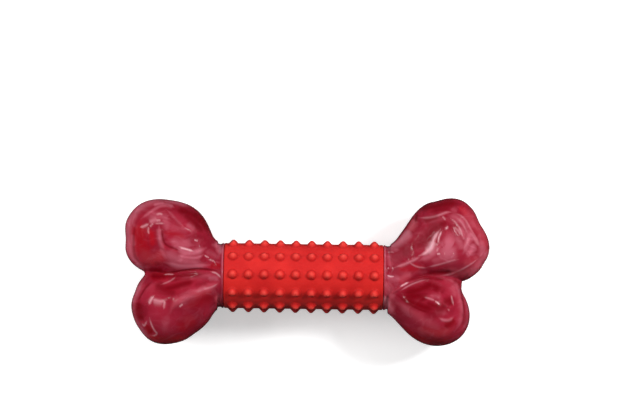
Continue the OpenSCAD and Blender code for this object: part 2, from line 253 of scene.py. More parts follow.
LEFT_LOWER = dict(
    cheek_red=fold(6.6, "34,93 44,99 58,104", dark=0.8),
    crest_low=fold(3.8, "48,124 45.6,134 44,144", milk=0.2),
    line=fold(0.8, "40.8,94.7 47,92.4 52,89.8 56,86.6", rise=0.2, pale=0.18, milk=0.35),
    # A painted reflection on the lower lobe's crown
    crown_left=fold(1.4, "29,114.8 30.2,111 32.2,107.8 34.4,105.8", pale=0.56),
    crown_middle=fold(1.6, "32,109.4 36,110.4 41,111.4 45,110", pale=0.32),
    crown_right=fold(1.1, "44.6,109.8 44.2,114.6 43.4,119", pale=0.4),
    crown_glow=fold(2.6, "32.6,111.8 38,113 43.4,113", rise=0.3, pale=0.2),
    crown_haze=fold(2.4, "32,110 38,111 43,112", milk=0.3),
    spark=fold(0.6, "59,117.2 61,115.4 63,113.8", pale=1),
    dark=fold(4.6, "19.5,111 18.4,118 20.4,126 24,132", rise=-0.3, dark=0.95),
    # The paler rim is a painted reflection, and the rim crease holds painted shade
    rim=fold(2.4, "27,86 19.5,96 14.4,107 12.6,117 14.5,128 19,138 26,146.5 36,151.8", milk=0.62),
    rim_crease=fold(1.2, "32,91 25,98 20.4,105 17.6,112", rise=-0.3, dark=0.8),
    # A painted highlight line along a facet
    facet=fold(0.8, "29.4,127.6 31.2,134 34.2,140 36.8,143.4 34.6,145.5 29,146", rise=0.2, pale=0.42),
    facet_red=fold(3, "25,135 29,140 32,144", red=0.9, dark=0.7),
    # A painted glint
    low_glint=fold(0.85, "21.6,133.4 23.6,136 25.2,134 27,131", pale=0.35),
    shade=fold(3, "62,151 76,143.6 88,132.6 97,121", dark=0.9),
    edge=fold(4.4, "26,144 35,148.6 45,150.6 56,149.6 68,145", red=1, milk=0.06),
    side_red=fold(4.6, "66,117 80,111 94,106", red=0.5, dark=0.5),
    right_red=fold(6.4, "56,141 68,133 77,127", red=0.55),
)
RIGHT_UPPER = dict(
    band=fold(4.2, "38,21.6 45,18.2 58,15.6 70,13.6 80,14", dark=0.88),
    band_low=fold(2.6, "48,22.4 60,19.6 72,17.4", dark=0.7),
    band_red=fold(5, "79,17 87,23.6 94,32 101,42 105.5,53 104.6,64", red=0.35, milk=0.22),
    band_corner=fold(3.2, "79,16 84,20 88,26", red=0.6),
    corner_milk=fold(3, "71,18 77,22", milk=0.26),
    # The paler contour is the edge of a painted reflection
    contour=fold(1.05, "39,27.6 45,28 51,27.4 58,25.6 67,22.4 73,22.6", rise=0.35, milk=0.6, pale=0.16),
    contour_right=fold(1.2, "73,22.6 80,25.4 85,29.8 88.4,35.4 92.4,42.6 97,50.4 101.4,59", rise=0.3,
        milk=0.5, pale=0.1),
    contour_haze=fold(3.4, "68,25 77,28 84,35 88,43", milk=0.42),
    # Painted shade in the hollow
    hollow=fold(8, "62,31 54,41 43,51 32,61", rise=-0.3, milk=0.34, dark=0.8),
    hollow_edge=fold(3.6, "42,31 50,29.4 60,26.6", dark=0.8, milk=0.3),
    hollow_low=fold(6.4, "40,48 30,59 21,69", dark=0.66),
    hollow_dark=fold(3.2, "67,32 61,34.6 57,39", dark=0.78),
    # A ridge with a painted highlight along it, and painted glints beside it
    swirl_ridge=fold(1.8, "39.4,65.8 46,62.8 50.2,58.6 52.4,53.6 54,48.6 56.6,44 60.4,39.6", rise=0.7,
        milk=0.95, pale=0.6),
    swirl_core=fold(3, "45,63 50,59 52,54.6 53,49.6", milk=0.9, pale=0.68),
    swirl_tail=fold(1.4, "15,77.4 24,74.6 32,71 41,66.4", rise=0.5, milk=0.55, pale=0.14),
    swirl_foot=fold(3, "39,70.6 50,66 57,60 62,54", milk=0.66),
    swirl_line=fold(0.75, "57.8,53.6 58.6,48.6 60,44.4 62.6,40.4", rise=0.1, pale=0.85),
    swirl_shade=fold(0.9, "55.8,56 56.8,49.6 59,43.6", dark=0.45),
    swirl_dot=fold(0.72, "64.8,39.4 66.6,38 68.4,36.8", pale=0.85),
    swirl_beads=fold(0.8, "58,57 57.4,60 57,62", pale=0.35),
    # Painted highlight lines and their glow
    tick=fold(0.85, "62.2,26.2 64,28 65.8,30.2", pale=0.32),
    arc=fold(0.75, "69,27.4 75,32 79.4,38 82,44 83.4,49", rise=0.2, pale=0.32),
    arc_strand=fold(0.8, "75,26.4 80.4,31.4 85,38 88.4,45", rise=0.15, milk=0.5, pale=0.12),
    arc_milk=fold(2.6, "78,36 83,43 84,51", milk=0.62),
    arc_inner=fold(0.85, "73,36 78,40.6 81,46", pale=0.25),
    pink=fold(8, "61,52 69,53 67,63 77,57", milk=0.88),
    pink_left=fold(2.8, "61,52 63.6,56.6", milk=0.5),
    pink_top=fold(4, "72,39 77,43 81,50", milk=0.2),
    pink_right=fold(4, "75,46 80,53 84,60", milk=0.5),
    pink_low=fold(3.4, "50,70.6 60,69 70,65.6", milk=0.4),
    spark=fold(0.66, "56.8,64.3 58.6,63.8 60.4,63.9", pale=0.9),
    spark_middle=fold(0.7, "64,63.6 65.4,63.6", pale=0.5),
    spark_right=fold(0.7, "72.4,63.8 74.4,63.2", pale=0.5),
    cheek_star=fold(3.8, "90.4,40 88.8,48 86.4,56 83.4,63", milk=0.75),
    cheek_star_line=fold(1.1, "89.6,46 87.6,52 83.6,59", rise=0.15, pale=0.12),
    cheek_streak=fold(1.6, "89.4,41 94,47.8 100,57", milk=0.66, pale=0.1),
    cheek_haze=fold(3.8, "95,53 91,60 88,67", milk=0.72),
    cheek_top_haze=fold(3.6, "84,39 90,46 92,53", milk=0.5),
    cheek_low=fold(4, "82,72 92,72 100,66", red=0.4, milk=0.2),
    right_milk=fold(4, "100,48 103,58 102,70", milk=0.55),
    # Painted highlight lines along the lobe's foot and lip
    foot=fold(0.85, "27.4,67 29.2,71.4 33,74.9 39,77.2 48,78", rise=0.2, milk=0.45, pale=0.16),
    foot_red=fold(4.4, "16,76 28,79.6 44,76", red=0.5),
    lip=fold(0.9, "47,77.2 56,75.2 65,72.8 73,70.4 80,69.4", rise=0.2, milk=0.6, pale=0.18),
    # A painted reflection along the lobe's lower rim
    rim_low=fold(4, "107,56 105.6,66 100,74 92,81.6 84,86.4", red=0.6, milk=0.6),
)
RIGHT_MIDDLE = dict(
    neck_milk=fold(4.8, "31,38 24,46.6 17,52 7,56", milk=1, pale=0.1),
    neck_inner_milk=fold(4, "32,54 27,62 24,69", milk=0.45),
    neck_bright=fold(4, "34.6,28 32,35 27.6,41", red=0.9, milk=0.5, pale=0.04),
    neck_notch=fold(1.4, "37.4,23 36.2,28 35.4,32.6", dark=0.9),
    neck_top=fold(2.6, "5,58 12,59 20,60", milk=0.5),
    neck_shade=fold(4.6, "29,60 19,66 10,70", dark=0.42, milk=0.3),
    neck_pink=fold(3.4, "5,86 13,89 22,90", milk=0.5),
    neck_arch_red=fold(3.6, "18,93 25,87 32,82", red=0.5, milk=0.3),
    # Painted glints on the neck, here and below
    neck_glint_line=fold(0.8, "7,62.6 11,62 14.6,62.6", pale=0.25),
    neck_left_shade=fold(1.6, "4,59 5,72 5,86", dark=0.3),
    neck_left_milk=fold(2.6, "9,62 10,70 11,78", milk=0.5, red=0.3),
    neck_glints=fold(0.8, "7.4,78.3 9.4,78", pale=0.6),
    neck_glints_right=fold(0.8, "11.6,78.3 13.6,77.7", pale=0.6),
    neck_glint=fold(0.75, "7.2,85.3 10.4,86.5 14.2,86.4", pale=0.85),
    # Painted shade in the cleft, painted light on the flank beside it, and a painted highlight line along it
    cleft=fold(3, "44,85 56,84 66,83 74,82", rise=-1, dark=0.86),
    cleft_right_glow=fold(3, "64,78.6 76,81.6 85,82 94,78", milk=0.5, red=0.8),
    cleft_corner=fold(2.4, "72,90 77,93 79,97", dark=0.7),
    cleft_line=fold(0.95, "61,85.8 68,85 75,82.4 83,78.6 92,73.4 101,67.6", rise=0.25, milk=0.7, pale=0.14),
    # Painted light on the neck's shaded underside
    neck_red=fold(5, "5,90 8,100 13,110", red=0.5, milk=0.42),
    neck_low=fold(4.6, "4,105 6,112 9,118 14,124", red=0.9, milk=0.9),
    neck_low_pale=fold(3, "4,106 6,112 10,117", pale=0.26),
)
RIGHT_LOWER = dict(
    # A ridge arch with painted light and a painted glint along it, and painted shade inside it
    arch=fold(1.6, "9,106.5 15,101.4 23,96 32,91.8 42,88.6 53,87", rise=0.7, milk=0.22),
    arch_shade=fold(3.2, "26,91.6 40,87 54,88.6 68,89", dark=0.8),
    arch_inner_shade=fold(5.6, "47,93 56,97 58,103", dark=0.95),
    arch_right=fold(2.2, "58,87.6 67,89.4 74,92.4 76.8,99 79,107 81,117 81,127 78.6,135 74,141.6", rise=0.7,
        milk=0.4),
    arch_line=fold(0.85, "20,101 29,95.6 38,91.8 48,89", milk=0.6, pale=0.16),
    arch_spark=fold(0.75, "20,97.2 22.8,95.2 25,94 28.6,92", pale=0.8),
    # Painted shade in the recess
    recess=fold(5.4, "22,103.6 32,102 42,98 52,94.6 58,94.6", dark=1),
    recess_middle=fold(6.4, "23,105 32,106 41,107 48,111", dark=1),
    recess_low=fold(4.8, "22,108 34,113 44,117 56,120", dark=1),
    recess_edge=fold(1.6, "17,105 29,113.6 42,120.4 54,123", dark=1),
    recess_side=fold(3.6, "60,94 63,99 61,104", dark=0.5),
    recess_side_milk=fold(3, "72,94 74,101 76,108", milk=0.3),
    recess_end=fold(4, "54,120 61,119 67,114", dark=0.8),
    # Painted light on the knob, painted glints, and painted shade beside it
    knob=fold(3, "49,107.6 56,106.4 62,108", rise=0.6, milk=0.3),
    knob_low_shade=fold(3.2, "45,112 54,115.6 62,116", dark=0.9),
    knob_line=fold(0.85, "43.6,107 49,108.4 55.4,110.8", milk=0.7, pale=0.2),
    knob_spark=fold(0.62, "54.8,111 57,112.4 59.6,114.2", pale=0.9),
    knob_side=fold(0.75, "71.2,104.6 72,109 73.4,115.4", rise=0.2, pale=0.36),
    knob_shade=fold(4.2, "62,113 70,111 68,117", dark=0.9),
    tick=fold(0.8, "68.4,118.2 68.6,121.4", pale=0.3),
    haze=fold(3.4, "54,122 61,122 67,124", milk=0.3),
    pale=fold(1.4, "58.6,127.8 64,130.2 69.4,130 73.6,126.8", rise=0.3, milk=0.7, pale=0.08),
    # Deep maroon and painted shade near the lower edge
    dark_pool_and_shade=fold(3.4, "75,128 70.6,133.4 63.6,137.4", dark=0.7, red=0.7),
    band=fold(5, "16,113 28,120 40,128 53,136 64,141", milk=0.26, red=0.2),
    band_red=fold(5, "34,139 48,142 62,143 74,138", red=0.9, milk=0.2),
    shade=fold(6, "42,120 54,123 64,119", dark=0.5),
    edge=fold(3.6, "18,134 30,143.6 44,150 60,151.6 73,147", dark=0.25, red=0.8),
    edge_red=fold(1.5, "24,143 40,152.6 58,155 74,151", red=1, milk=0.2),
    # The paler rim is a painted reflection, with painted shade in its crease
    rim=fold(2.2, "82,101 85.6,110 87.6,121 86,132 81.6,141", milk=0.26),
    rim_shade=fold(3, "80,122 84,128 83,136", dark=0.4),
    rim_red=fold(2, "81,106 82,111", dark=0.5),
    rim_crease=fold(0.9, "81.4,101 83.4,111 84.2,122 82.6,132", rise=-0.2, dark=0.6),
)

# Soft swells and flats at the outline of the two ends: each one's pixel from the end's corner, its reach in
# pixels and its height in millimetres
LEFT_SWELLS = [
    [(5, 33), 7, 0.4], [(4, 50), 7, -0.5], [(6, 61), 8, 0.7], [(12, 70), 9, 1.1], [(20, 77), 8, 0.9],
    [(13, 19), 8, -0.2], [(52, 9), 8, -0.5], [(64, 12), 9, -0.8], [(75, 18), 9, -0.5], [(11, 118), 9, 0.5],
    [(15, 101), 8, -0.8], [(21, 141), 9, -0.6], [(69, 148), 9, 0.7], [(79, 140), 9, 0.7],
]
RIGHT_SWELLS = [
    [(83.4, 91.6), 5.4, 3], [(89, 88), 6, 1.8], [(95, 84), 6, 0.4], [(104, 73), 8, -1.3],
    [(56, 10), 7, -0.6], [(88, 18), 8, -0.6], [(100, 33), 8, -0.5],
]

# How steeply a face may turn from the photograph's camera before its folds fade out and its marbling
# starts to wander, as the part of its normal that points at the camera
FADE_START = 0.12
FADE_END = 0.42
WANDER_START = 0.35
# How far the marbling wanders on the sides and the far face, in pixels, and how soon behind the middle
# plane, in millimetres
WANDER = 6
WANDER_RUN = 6
# The waves of this wandering, across the photograph and up it. Each has the axis that it runs along, the
# millimetres in a radian along that axis and into the depth, its phase in radians and its strength.
WAVES_ACROSS = [(1, 17, 6, 1.3, 1), (0, 11, -9, 0.4, 0.6)]
WAVES_UP = [(0, 19, -7, 2.1, 1), (1, 9, 8, 1.7, 0.6)]
# How far from the collar's face the folds reach their full height
NECK_CALM = 5
# How narrow a fold is at its two ends, and how soon it gets its full width
TAPER_SHARE = 0.35
TAPER_RATE = 4
# How far from its path a fold is looked for: half widths, and pixels more
FOLD_REACH = 4
FOLD_SLACK = 8

# Keeps a division away from zero
TINY = 1e-12

# Middle of the sleeve's axis in the frame, the sleeve's length, and how far a collar's face is from the
# middle
core_low, core_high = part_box("core_shaft")
sleeve_low, sleeve_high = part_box("nub_sleeve")
MIDDLE = np.array((core_low + core_high) / 2)
SLEEVE_LEN = (sleeve_high.x - sleeve_low.x) / MM
SEAT_X = SLEEVE_LEN / 2 + FIT_GAP


def placed(points):
    """Points in millimetres about the middle of the sleeve, in Blender's metres."""
    return points * MM + MIDDLE


def ease(t):
    """Goes smoothly from 0 to 1 while t does, and stays there."""
    t = np.clip(t, 0, 1)
    return t * t * (3 - 2 * t)


def lerp(a, b, t):
    return a + (b - a) * t


def soft_min(a, b, width):
    h = np.maximum(width - np.abs(a - b), 0) / width
    return np.minimum(a, b) - h * h * width / 4


def turned(x, y, angle):
    """x and y measured along axes that are turned by an angle."""
    return x * math.cos(angle) + y * math.sin(angle), y * math.cos(angle) - x * math.sin(angle)


def camera_middle():
    """The point of the axis's plane that is in the middle of the photograph."""
    across = (PHOTO_WIDTH / 2 - PHOTO_MIDDLE[0]) * PIXEL
    up = (PHOTO_MIDDLE[1] - PHOTO_HEIGHT / 2) * PIXEL
    return turned(across, up, -ROLL)


def to_photo(points):
    """The pixels at which points show in the photograph. A point on the side that faces away is first
    mirrored to the side that faces the camera."""
    middle_x, middle_y = camera_middle()
    nearer = CAMERA_AWAY / (CAMERA_AWAY - np.abs(points[..., 2]))
    across, up = turned((points[..., 0] - middle_x) * nearer, (points[..., 1] - middle_y) * nearer, ROLL)
    return PHOTO_WIDTH / 2 + across / PIXEL, PHOTO_HEIGHT / 2 - up / PIXEL


def blob(row, size):
    """A blob in millimetres, from its row of shares and the size of its end."""
    centre, half, turn, square = row
    side = size[2] if centre[1] < 0 else size[1]
    return (
        np.array([centre[0] * size[0], centre[1] * side, centre[2] * size[3]]),
        np.array([half[0] * size[0], half[1] * (size[1] + size[2]) / 2, half[2] * size[3]]),
        math.radians(turn),
        square,
    )


def blob_gap(p, b):
    """About how far points lie outside one blob, negative inside it."""
    centre, half, turn, square = b
    d = p - centre
    u, v = turned(d[..., 0], d[..., 1], turn)
    w = d[..., 2] / half[2]
    flat = (np.abs(u / half[0]) ** square + np.abs(v / half[1]) ** square) ** (2 / square)
    return (np.sqrt(flat + w * w) - 1) * half.min()


def group_gap(p, blobs, width):
    """The same for a list of blobs that melt together."""
    gap = blob_gap(p, blobs[-1])
    for b in reversed(blobs[:-1]):
        gap = soft_min(blob_gap(p, b), gap, width)
    return gap


def end_gap(p, lobes, half_t):
    """The same for a whole end: two lobes with a web between them."""
    upper = group_gap(p, lobes[0], LOBE_BLEND_SHARE * half_t)
    lower = group_gap(p, lobes[1], LOBE_BLEND_SHARE * half_t)
    both = soft_min(upper, lower, CLEFT_BLEND_SHARE * half_t)
    return soft_min(both, blob_gap(p, lobes[2]), WEB_BLEND_SHARE * half_t)


def cast(start, way, lobes, size):
    """Lengths of rays from start to the surface of an end."""
    low = np.zeros(way.shape[:-1])
    high = np.full(way.shape[:-1], RAY_SHARE * size[0])
    for _ in range(RAY_STEPS):
        middle = (low + high) / 2
        inside = end_gap(start + way * middle[..., None], lobes, size[3]) < 0
        low = np.where(inside, middle, low)
        high = np.where(inside, high, middle)
    return low


def around_angles():
    """Angles of the points of a ring, drawn a little towards the lobes and the cleft."""
    even = 2 * math.pi * np.arange(RING_POINTS) / RING_POINTS
    return even - math.radians(DRAW_ANGLE) * np.sin(4 * even)


def body_points(shares, size):
    """The smooth body of an end: its rings from the neck to the cleft, and the point in the cleft."""
    girth = NECK_GIRTH_SHARE * NECK_R
    neck = (np.zeros(3), np.array([NECK_SHARE * size[0], girth, girth]), 0, 2)
    lobes = [
        [neck] + [blob(row, size) for row in shares["upper"]],
        [neck] + [blob(row, size) for row in shares["lower"]],
        blob(shares["web"], size),
    ]
    start = np.array([STAR_SHARE * size[0], 0, 0])
    rim_angle = math.atan2(NECK_R, start[0])
    polar = lerp(rim_angle, math.pi, np.arange(BODY_RINGS) / BODY_RINGS)[:, None]
    around = around_angles()
    way = np.stack(
        np.broadcast_arrays(
            -np.cos(polar), np.sin(polar) * np.cos(around), np.sin(polar) * np.sin(around)
        ),
        -1,
    )
    keep = 1 - ease((polar - rim_angle) / math.radians(RIM_ANGLE))
    reach = lerp(cast(start, way, lobes, size), NECK_R / np.sin(polar), keep)
    axis = np.array([1.0, 0, 0])
    tip = start + axis * cast(start, axis, lobes, size)
    return start + way * reach[..., None], tip


def dented(rings, dents, size):
    """Presses soft dents into both faces of a body."""
    pressed = np.zeros(rings.shape[:-1])
    for centre, half, turn, depth in dents:
        side = size[2] if centre[1] < 0 else size[1]
        u, v = rings[..., 0] - centre[0] * size[0], rings[..., 1] - centre[1] * side
        u, v = turned(u, v, math.radians(turn))
        u, v = u / (half[0] * size[0]), v / (half[1] * (size[1] + size[2]) / 2)
        pressed += depth * np.exp(-u * u - v * v)
    rings = rings.copy()
    rings[..., 2] *= 1 - pressed
    return rings


def fitted(rings, tip, size):
    """Stretches a body so that its lobes reach as far as the frame says, and its neck stays round."""
    free = ease(rings[..., 0] / (RIM_SHARE * size[0]))
    scale_v = np.where(rings[..., 1] > 0, size[1] / rings[..., 1].max(), size[2] / -rings[..., 1].min())
    scale_u = size[0] / rings[..., 0].max()
    scale_w = size[3] / rings[..., 2].max()
    scales = [np.full(free.shape, scale_u), lerp(1, scale_v, free), lerp(1, scale_w, free)]
    return rings * np.stack(scales, -1), tip * [scale_u, 1, 1]


def ring_normals(rings, sign):
    """Outward normals of a grid of rings that leads to the side of sign along the toy."""
    along = np.gradient(rings, axis=0)
    around = (np.roll(rings, -1, axis=1) - np.roll(rings, 1, axis=1)) / 2
    normals = np.cross(around, along)
    return sign * normals / np.maximum(np.linalg.norm(normals, axis=-1, keepdims=True), TINY)


def smooth_path(points):
    """Points about a pixel apart on a smooth curve through given ones."""
    ends = [2 * points[0] - points[1], *points, 2 * points[-1] - points[-2]]
    path = []
    for a, b, c, d in zip(ends, ends[1:], ends[2:], ends[3:]):
        count = max(2, int(np.linalg.norm(c - b)))
        bend, twist = 2 * a - 5 * b + 4 * c - d, 3 * b - a - 3 * c + d
        for t in np.arange(count) / count:
            path.append((2 * b + (c - a) * t + bend * t**2 + twist * t**3) / 2)
    return np.array([*path, points[-1]])


def stroke(x, y, points, width):
    """How strongly a soft stroke, which tapers to its two ends, covers each pixel, from 0 to 1."""
    path = smooth_path(points)
    cover = np.zeros(x.shape)
    near = np.ones(x.shape, bool)
    for place, way in ((x, path[:, 0]), (y, path[:, 1])):
        near &= np.abs(place - way.mean()) < np.ptp(way) / 2 + FOLD_REACH * width + FOLD_SLACK
    pixels = np.stack([x[near], y[near]], -1)
    away = np.linalg.norm(pixels[:, None] - path, axis=-1)
    share = away.argmin(axis=1) / (len(path) - 1)
    taper = lerp(TAPER_SHARE, 1, ease(np.minimum(share, 1 - share) * TAPER_RATE))
    cover[near] = np.exp(-((away.min(axis=1) / (width * taper)) ** 2)) * ease(taper)
    return cover


def wander(points, waves):
    """A slow, smooth drift in pixels, which moves the folds of the sides and of the far face."""
    drift = 0
    for axis, run, depth, phase, strength in waves:
        drift = drift + strength * np.sin(points[..., axis] / run + points[..., 2] / depth + phase)
    return WANDER * drift / sum(wave[-1] for wave in waves)


def swell(x, y, swells):
    """Height of the soft swells at each pixel, in millimetres."""
    height = np.zeros(x.shape)
    for (middle_x, middle_y), reach, amount in swells:
        height += amount * np.exp(-((x - middle_x) ** 2 + (y - middle_y) ** 2) / reach**2)
    return height


def fold_fields(points, normals, folds, swells, corner):
    """Height of the folds at each point, and how far each tint goes there: the marbling's, and painted
    shade, reflections and highlights.
    """
    facing = ease((np.abs(normals[..., 2]) - FADE_START) / (FADE_END - FADE_START))
    straight_x, straight_y = (pixel - start for pixel, start in zip(to_photo(points), corner))
    share = np.maximum(ease(-points[..., 2] / WANDER_RUN), 1 - ease(np.abs(normals[..., 2]) / WANDER_START))
    x = straight_x + wander(points, WAVES_ACROSS) * share
    y = straight_y + wander(points, WAVES_UP) * share
    fields = {name: np.zeros(x.shape) for name in ("milk", "dark", "red", "pale")}
    fields["rise"] = swell(straight_x, straight_y, swells)
    for path, width, effects in folds:
        cover = stroke(x, y, path, width)
        for name, amount in effects.items():
            if name == "rise":
                fields["rise"] += amount * cover * facing
            # Painted highlights fade out where a face turns from the camera
            elif name == "pale":
                fields["pale"] = np.maximum(fields["pale"], amount * cover * facing)
            else:
                fields[name] = np.maximum(fields[name], amount * cover)
    return fields


def seated(points, sign):
    """Points of an end, measured from its collar's face, at their place on the side of sign."""
    return (points + [SEAT_X, 0, 0]) * [sign, 1, 1]


def held_inside(points, size, sign):
    """Scales a body about its axis, so that its folds keep it inside the box that the frame gives it."""
    local = points * [sign, 1, 1] - [SEAT_X, 0, 0]
    for axis, low, high in ((1, -size[2], size[1]), (2, -size[3], size[3])):
        over = max(local[..., axis].max() / high, local[..., axis].min() / low)
        local[..., axis] /= max(over, 1)
    local[..., 0] = np.minimum(local[..., 0], size[0] + BODY_START)
    return seated(local, sign)


def ring(u, radius, around):
    """A ring at u along the axis, with its radius at each of its points' angles."""
    return np.stack([np.full(around.shape, float(u)), radius * np.cos(around), radius * np.sin(around)], -1)


def socket_rings():
    """The socket for the core's tenon, from its bottom to its mouth, with the two flats and the barbs."""
    r = TENON_R + FIT_GAP
    first = TENON_LEN * FIRST_BARB_SHARE - FIT_GAP
    second = TENON_LEN * SECOND_BARB_SHARE - FIT_GAP
    run = BARB_LEN + 2 * FIT_GAP
    profile = [
        (TENON_LEN + FIT_GAP, r / 2), (TENON_LEN + FIT_GAP, r), (second + run, r), (second, r + BARB_H),
        (second - BARB_LEAN, r), (first + run, r), (first, r + BARB_H), (first - BARB_LEAN, r), (0, r),
    ]
    rings = np.array([ring(u, radius, around_angles()) for u, radius in profile])
    half_flat = TENON_R - FLAT_DEPTH + FIT_GAP
    rings[..., 2] = np.clip(rings[..., 2], -half_flat, half_flat)
    return rings


def collar_rings():
    """The collar's face, its rounded edge, and the soft slope behind it that ends at the neck."""
    r = SLEEVE_D / 2
    c = COLLAR_CHAMFER
    profile = [(0, (TENON_R + r) / 2)]
    profile += [(c - c * math.cos(angle), r - c + c * math.sin(angle)) for angle in EDGE_ANGLES]
    for share in np.arange(1, SLOPE_RINGS) / SLOPE_RINGS:
        profile.append((lerp(c, BODY_START, share), lerp(r, NECK_R, ease(share))))
    return np.array([ring(u, radius, around_angles()) for u, radius in profile])


def skin(name, rings, tips=None, sign=1):
    """A closed mesh over rings of points in millimetres that lead to the side of sign: with a tip at each
    end, or else with the last ring joined to the first."""
    count, size = rings.shape[:2]
    points = rings.reshape(-1, 3)
    here = np.arange(size)
    after = (here + 1) % size
    rows = np.arange(count - 1 if tips else count)[:, None]
    base, above = rows * size, (rows + 1) % count * size
    quads = np.stack([base + here, base + after, above + after, above + here], -1)
    faces = [quads.reshape(-1, 4)]
    if tips:
        points = np.vstack([points, *tips])
        start, last = count * size, (count - 1) * size
        faces.append(np.stack([np.full(size, start), after, here], -1))
        faces.append(np.stack([np.full(size, start + 1), last + here, last + after], -1))
    if sign < 0:
        faces = [part[:, ::-1] for part in faces]
    mesh = bpy.data.meshes.new(name)
    mesh.from_pydata(placed(points).tolist(), [], [face for part in faces for face in part.tolist()])
    mesh.shade_smooth()
    piece = bpy.data.objects.new(name, mesh)
    bpy.context.scene.collection.objects.link(piece)
    return piece


def add_attribute(piece, name, values):
    attribute = piece.data.attributes.new(name, "FLOAT", "POINT")
    full = np.zeros(len(piece.data.vertices), np.float32)
    full[: values.size] = values.ravel()
    attribute.data.foreach_set("value", full)


def end_size(node):
    """Reach of an end's body, reach of its upper and its lower lobe, and half its thickness."""
    low, high = ((np.array(corner) - MIDDLE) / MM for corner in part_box(node))
    return [high[0] - low[0] - BODY_START, high[1], -low[1], (high[2] - low[2]) / 2]


def paint_collar_highlight_and_shade(fields, from_face, height):
    """A painted highlight along the collar's rounded edge, brighter on top, with painted shadow in the
    groove before it and painted shade on the underside. height is a share of the neck's radius."""
    groove = 1 - ease(from_face / COLLAR_CHAMFER)
    edge = (1 - groove) * (1 - ease((from_face - COLLAR_CHAMFER) / COLLAR_W))
    line = edge * lerp(COLLAR_HIGHLIGHT_LOW, COLLAR_HIGHLIGHT_HIGH, ease(height + COLLAR_HIGHLIGHT_SHARE))
    shade = np.maximum(groove, edge * ease(-height) * COLLAR_UNDERSIDE_SHADE)
    fields["milk"] = np.maximum(fields["milk"], line)
    fields["dark"] = np.maximum(fields["dark"] * (1 - line), shade)


def make_end(name, node, sign, shares, folds, swells, corner):
    """One bone end, closed all round: socket, collar, neck, and a body with its folds and swells."""
    size = end_size(node)
    rings, tip = body_points(shares, size)
    rings, tip = fitted(dented(rings, shares["dents"], size), tip, size)
    rings = np.concatenate([collar_rings(), rings + [BODY_START, 0, 0]])
    from_face = rings[..., 0]
    body = seated(rings, sign)
    normals = ring_normals(body, sign)
    fields = fold_fields(body, normals, folds, swells, corner)
    rise = fields.pop("rise") * ease(from_face / NECK_CALM)
    body = held_inside(body + normals * rise[..., None], size, sign)
    # Painted highlight, shadow and shade on the collar
    paint_collar_highlight_and_shade(fields, from_face, body[..., 1] / NECK_R)

    socket = seated(socket_rings(), sign)
    bottom = seated(np.array([TENON_LEN + FIT_GAP, 0, 0]), sign)
    cleft = seated(tip + [BODY_START, 0, 0], sign)
    piece = skin(name, np.concatenate([socket, body]), [bottom, cleft], sign)
    # The tints, with painted shade, reflections and highlights among them, go on the mesh as attributes
    for tint, values in fields.items():
        add_attribute(piece, tint, np.concatenate([np.zeros(socket.shape[:2]), values]))
    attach(piece, "root")
    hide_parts(node)
    return piece


def nub_height(away):
    """Height of the sleeve's surface at a distance from the middle of a nub: a rounded crown, a straight
    flank and a small hollow foot."""
    foot_r = NUB_D / 2
    crown_z = NUB_H - NUB_CROWN_R
    slope = math.atan2(crown_z, foot_r) + math.asin(NUB_CROWN_R / math.hypot(foot_r, crown_z))
    crown_edge = NUB_CROWN_R * math.sin(slope)
    crown = crown_z + np.sqrt(np.maximum(NUB_CROWN_R**2 - away**2, 0))
    flank = (foot_r - away) * math.tan(slope)
    straight = np.where(away < crown_edge, crown, flank)
    return -soft_min(-straight, np.zeros_like(straight), NUB_FOOT_BLEND)


def nub_pattern(x, around):
    """Height of the nubs at places along the sleeve and angles around it."""
    pitch = (SLEEVE_LEN - 2 * NUB_MARGIN) / NUBS_ALONG
    along = (x + SLEEVE_LEN / 2 - NUB_MARGIN) % pitch - pitch / 2
    row = 2 * math.pi / NUBS_AROUND
    from_top = around - math.pi / 2 - math.radians(NUB_TURN)
    across = ((from_top + row / 2) % row - row / 2) * SLEEVE_D / 2
    return nub_height(np.hypot(along[:, None], across))


def bore_radius(around):
    """Radius of the sleeve's bore at each angle, with a flat keyway for each of the core's keys."""
    bore = np.full(around.shape, CORE_R + FIT_GAP)
    half = math.asin((KEY_W / 2 + 2 * FIT_GAP) / (CORE_R + KEY_H))
    for key in range(KEY_COUNT):
        middle = 2 * math.pi * (key + 0.5) / KEY_COUNT + math.pi / 2
        off = (around - middle + math.pi) % (2 * math.pi) - math.pi
        flat = (CORE_R + KEY_H + 2 * FIT_GAP) / np.cos(off)
        bore = np.where(np.abs(off) < half, flat, bore)
    return bore


def make_sleeve():
    """The rubber sleeve: a tube with rounded rims, a keyed bore and rows of soft nubs."""
    half, r, edge_r = SLEEVE_LEN / 2, SLEEVE_D / 2, SLEEVE_EDGE_R
    around = 2 * math.pi * np.arange(SLEEVE_POINTS) / SLEEVE_POINTS
    x = np.linspace(edge_r - half, half - edge_r, SLEEVE_RINGS)
    nubs = nub_pattern(x, around)
    left_rim = [
        (edge_r * (1 - math.sin(angle)) - half, r - edge_r * (1 - math.cos(angle)))
        for angle in EDGE_ANGLES[:0:-1]
    ]
    right_rim = [(-u, radius) for u, radius in reversed(left_rim)]
    bore = [(u, bore_radius(around)) for u in np.linspace(half, -half, BORE_RINGS)]
    profile = left_rim + list(zip(x, r + nubs)) + right_rim + bore
    rings = np.array([ring(u, radius, around) for u, radius in profile])
    piece = skin("nubbed_sleeve", rings)
    height = np.zeros(rings.shape[:2])
    height[len(left_rim) : len(left_rim) + SLEEVE_RINGS] = nubs / NUB_H
    add_attribute(piece, "nub", height)
    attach(piece, "root")
    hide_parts("nub_sleeve")
    return piece


def linear(red, green, blue):
    """A colour in Blender's linear values, from the 8-bit values that a screen shows."""
    parts = [c / 255 for c in (red, green, blue)]
    return [c / 12.92 if c <= 0.04045 else ((c + 0.055) / 1.055) ** 2.4 for c in parts] + [1]


